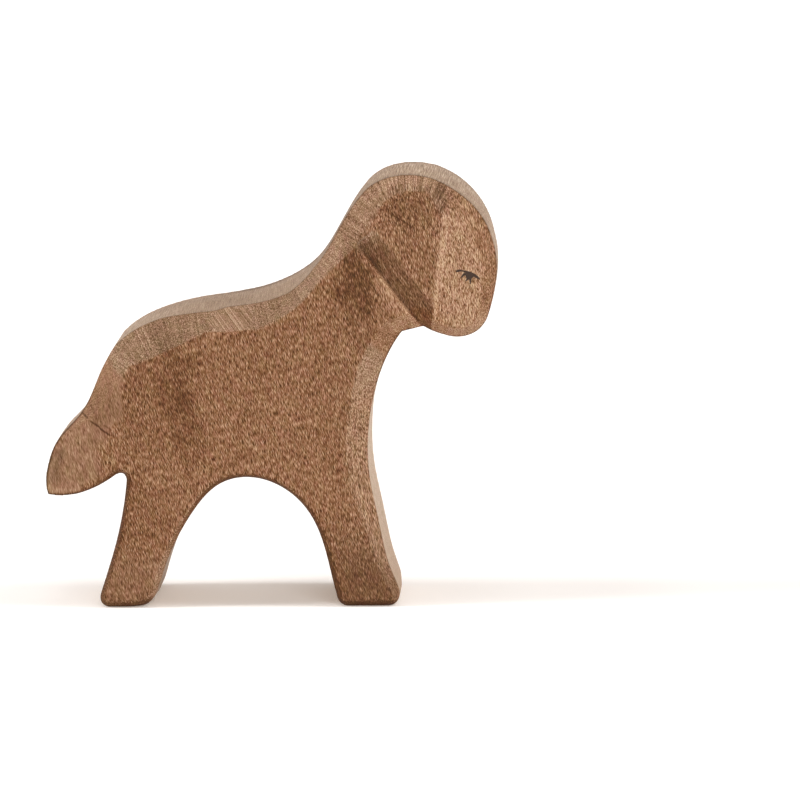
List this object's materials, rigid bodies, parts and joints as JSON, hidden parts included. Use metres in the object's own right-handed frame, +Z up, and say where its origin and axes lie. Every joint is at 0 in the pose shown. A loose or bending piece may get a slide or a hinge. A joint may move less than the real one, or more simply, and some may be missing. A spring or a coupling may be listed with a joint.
{
  "type": "carved wooden lamb figurine",
  "caption": "Small standing lamb sawn and knife-carved from one hardwood plank, with a bevelled back, V cuts behind the cheeks, thinned face and tail, and a painted eye on each side.",
  "frame": {"origin": "on the ground under the middle of the figure's bounding box, in the middle of the plank's thickness", "axes": "+X from tail to nose, +Y through the plank towards the animal's left side, +Z up"},
  "size_m": [0.0626, 0.018, 0.06],
  "materials": {
    "stained_maple": "satin",
    "eye_paint": "matte"
  },
  "bodies": {
    "root": {"carved_body": "stained_maple", "eye_right": "eye_paint", "eye_left": "eye_paint"}
  },
  "joints": []
}
